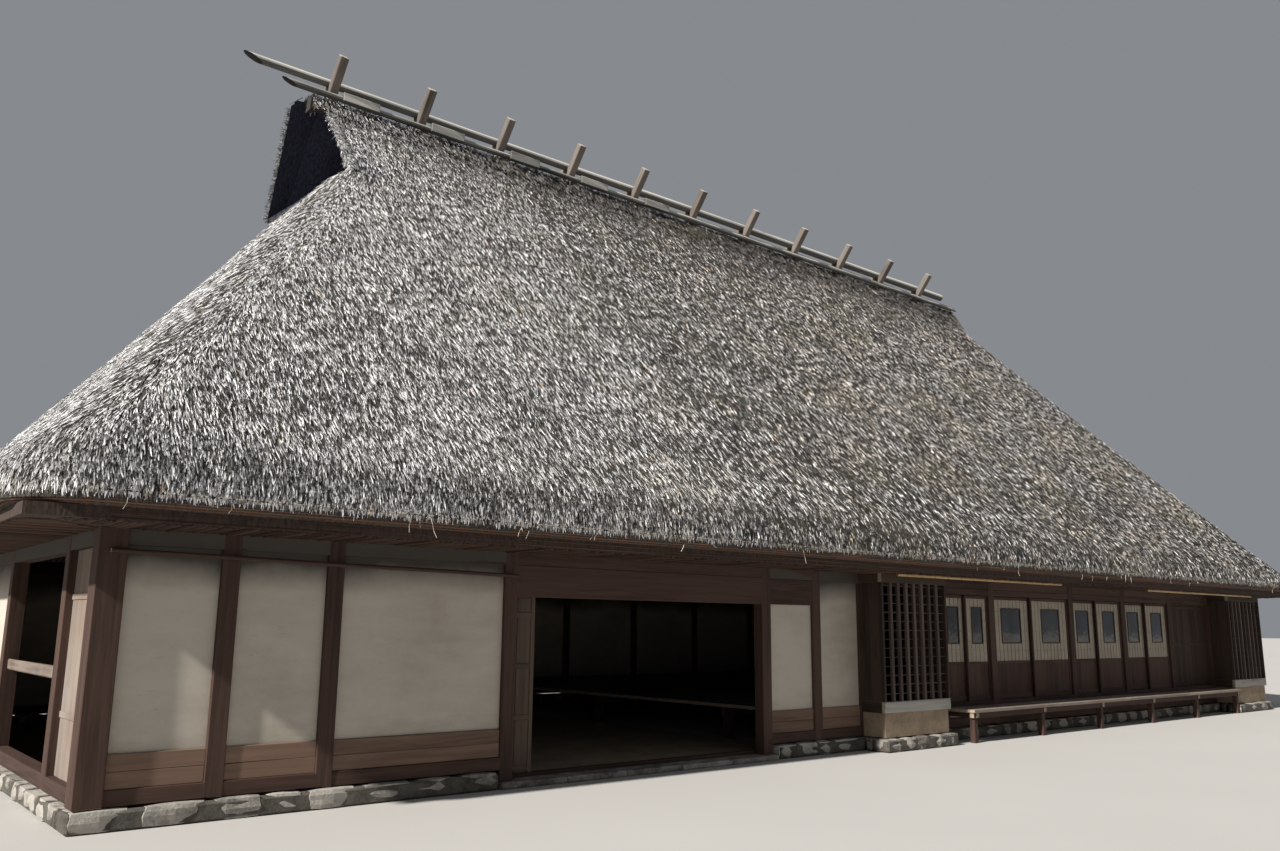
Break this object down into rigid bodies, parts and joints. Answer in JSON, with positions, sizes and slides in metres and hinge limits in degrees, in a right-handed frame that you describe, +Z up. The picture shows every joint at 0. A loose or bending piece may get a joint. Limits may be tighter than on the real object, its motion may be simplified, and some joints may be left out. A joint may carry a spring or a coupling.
{
  "type": "minka farmhouse",
  "caption": "Long timber-framed farmhouse with a thick thatched roof, smoke gable, crossed ridge timbers, lattice bays and sliding screens.",
  "frame": {"origin": "on the ground under the middle of the roof", "axes": "+X along the ridge to the right as seen from the front, -Y out of the front wall, +Z up"},
  "size_m": [23.516, 10.79, 9.4291],
  "materials": {
    "stone": "rough fieldstone",
    "earth": "beaten earth, matt",
    "plaster": "earthen plaster, matt, sooty at the top",
    "dark_wood": "old reddish brown timber, matt",
    "brown_wood": "weathered brown boards",
    "sooted_wood": "timber blackened by smoke",
    "grey_wood": "silver-grey weathered logs",
    "thatch": "weathered reed thatch, shaggy, with moss",
    "reed": "reddish brown reed and bark under the eave",
    "bark": "dark cedar bark",
    "bamboo": "dry tan bamboo, slight sheen",
    "paper_screen": "screens of paper on thin bars, with boards below"
  },
  "bodies": {
    "house": {"footing_front_left": "stone", "footing_front_right": "stone", "footing_back": "stone", "footing_left": "stone", "footing_right": "stone", "entrance_stone": "stone", "earth_floor": "earth", "raised_floor": "brown_wood", "floor_bearer_front": "dark_wood", "floor_bearer_middle": "dark_wood", "floor_bearer_back": "dark_wood", "front_wall_left": "plaster", "front_wall_middle": "plaster", "front_wall_low": "plaster", "front_wall_right": "plaster", "front_frame": "dark_wood", "back_wall": "plaster", "back_frame": "dark_wood", "left_wall": "plaster", "left_frame": "dark_wood", "right_wall": "plaster", "right_frame": "dark_wood", "left_board_panel": "brown_wood", "left_bar": "brown_wood", "bay_1_frame": "brown_wood", "bay_1_lattice": "brown_wood", "bay_1_base": "earth", "bay_2_frame": "brown_wood", "bay_2_lattice": "brown_wood", "bay_2_base": "earth", "board_wall": "dark_wood", "truss_1": "sooted_wood", "truss_2": "sooted_wood", "truss_3": "sooted_wood", "truss_4": "sooted_wood", "eave_front": "reed", "eave_back": "reed", "eave_left": "reed", "eave_right": "reed", "thatch_front": "thatch", "thatch_back": "thatch", "thatch_left": "thatch", "thatch_right": "thatch", "ridge_bark": "bark", "ridge_saddles": "grey_wood", "ridge_log": "grey_wood", "gable_screen": "sooted_wood", "veranda": "brown_wood", "bamboo_pole_1": "bamboo", "bamboo_pole_2": "bamboo", "wall_rail": "brown_wood"},
    "entrance_door": {"entrance_door": "brown_wood"},
    "screen_1_left": {"screen_1_left": "paper_screen"},
    "screen_1_right": {"screen_1_right": "paper_screen"},
    "screen_2_left": {"screen_2_left": "paper_screen"},
    "screen_2_right": {"screen_2_right": "paper_screen"},
    "screen_3_left": {"screen_3_left": "paper_screen"},
    "screen_3_right": {"screen_3_right": "paper_screen"},
    "screen_4_left": {"screen_4_left": "paper_screen"},
    "screen_4_right": {"screen_4_right": "paper_screen"}
  },
  "joints": [
    {"name": "entrance_door_slide", "type": "slide", "parent": "house", "child": "entrance_door", "axis": [1, 0, 0], "range_m": [-0.33, 3.23]},
    {"name": "screen_1_left_slide", "type": "slide", "parent": "house", "child": "screen_1_left", "axis": [1, 0, 0], "range_m": [0, 0.5393]},
    {"name": "screen_1_right_slide", "type": "slide", "parent": "house", "child": "screen_1_right", "axis": [-1, 0, 0], "range_m": [0, 0.5393]},
    {"name": "screen_2_left_slide", "type": "slide", "parent": "house", "child": "screen_2_left", "axis": [1, 0, 0], "range_m": [0, 1.0847]},
    {"name": "screen_2_right_slide", "type": "slide", "parent": "house", "child": "screen_2_right", "axis": [-1, 0, 0], "range_m": [0, 1.0847]},
    {"name": "screen_3_left_slide", "type": "slide", "parent": "house", "child": "screen_3_left", "axis": [1, 0, 0], "range_m": [0, 0.812]},
    {"name": "screen_3_right_slide", "type": "slide", "parent": "house", "child": "screen_3_right", "axis": [-1, 0, 0], "range_m": [0, 0.812]},
    {"name": "screen_4_left_slide", "type": "slide", "parent": "house", "child": "screen_4_left", "axis": [1, 0, 0], "range_m": [0, 0.812]},
    {"name": "screen_4_right_slide", "type": "slide", "parent": "house", "child": "screen_4_right", "axis": [-1, 0, 0], "range_m": [0, 0.812]}
  ]
}
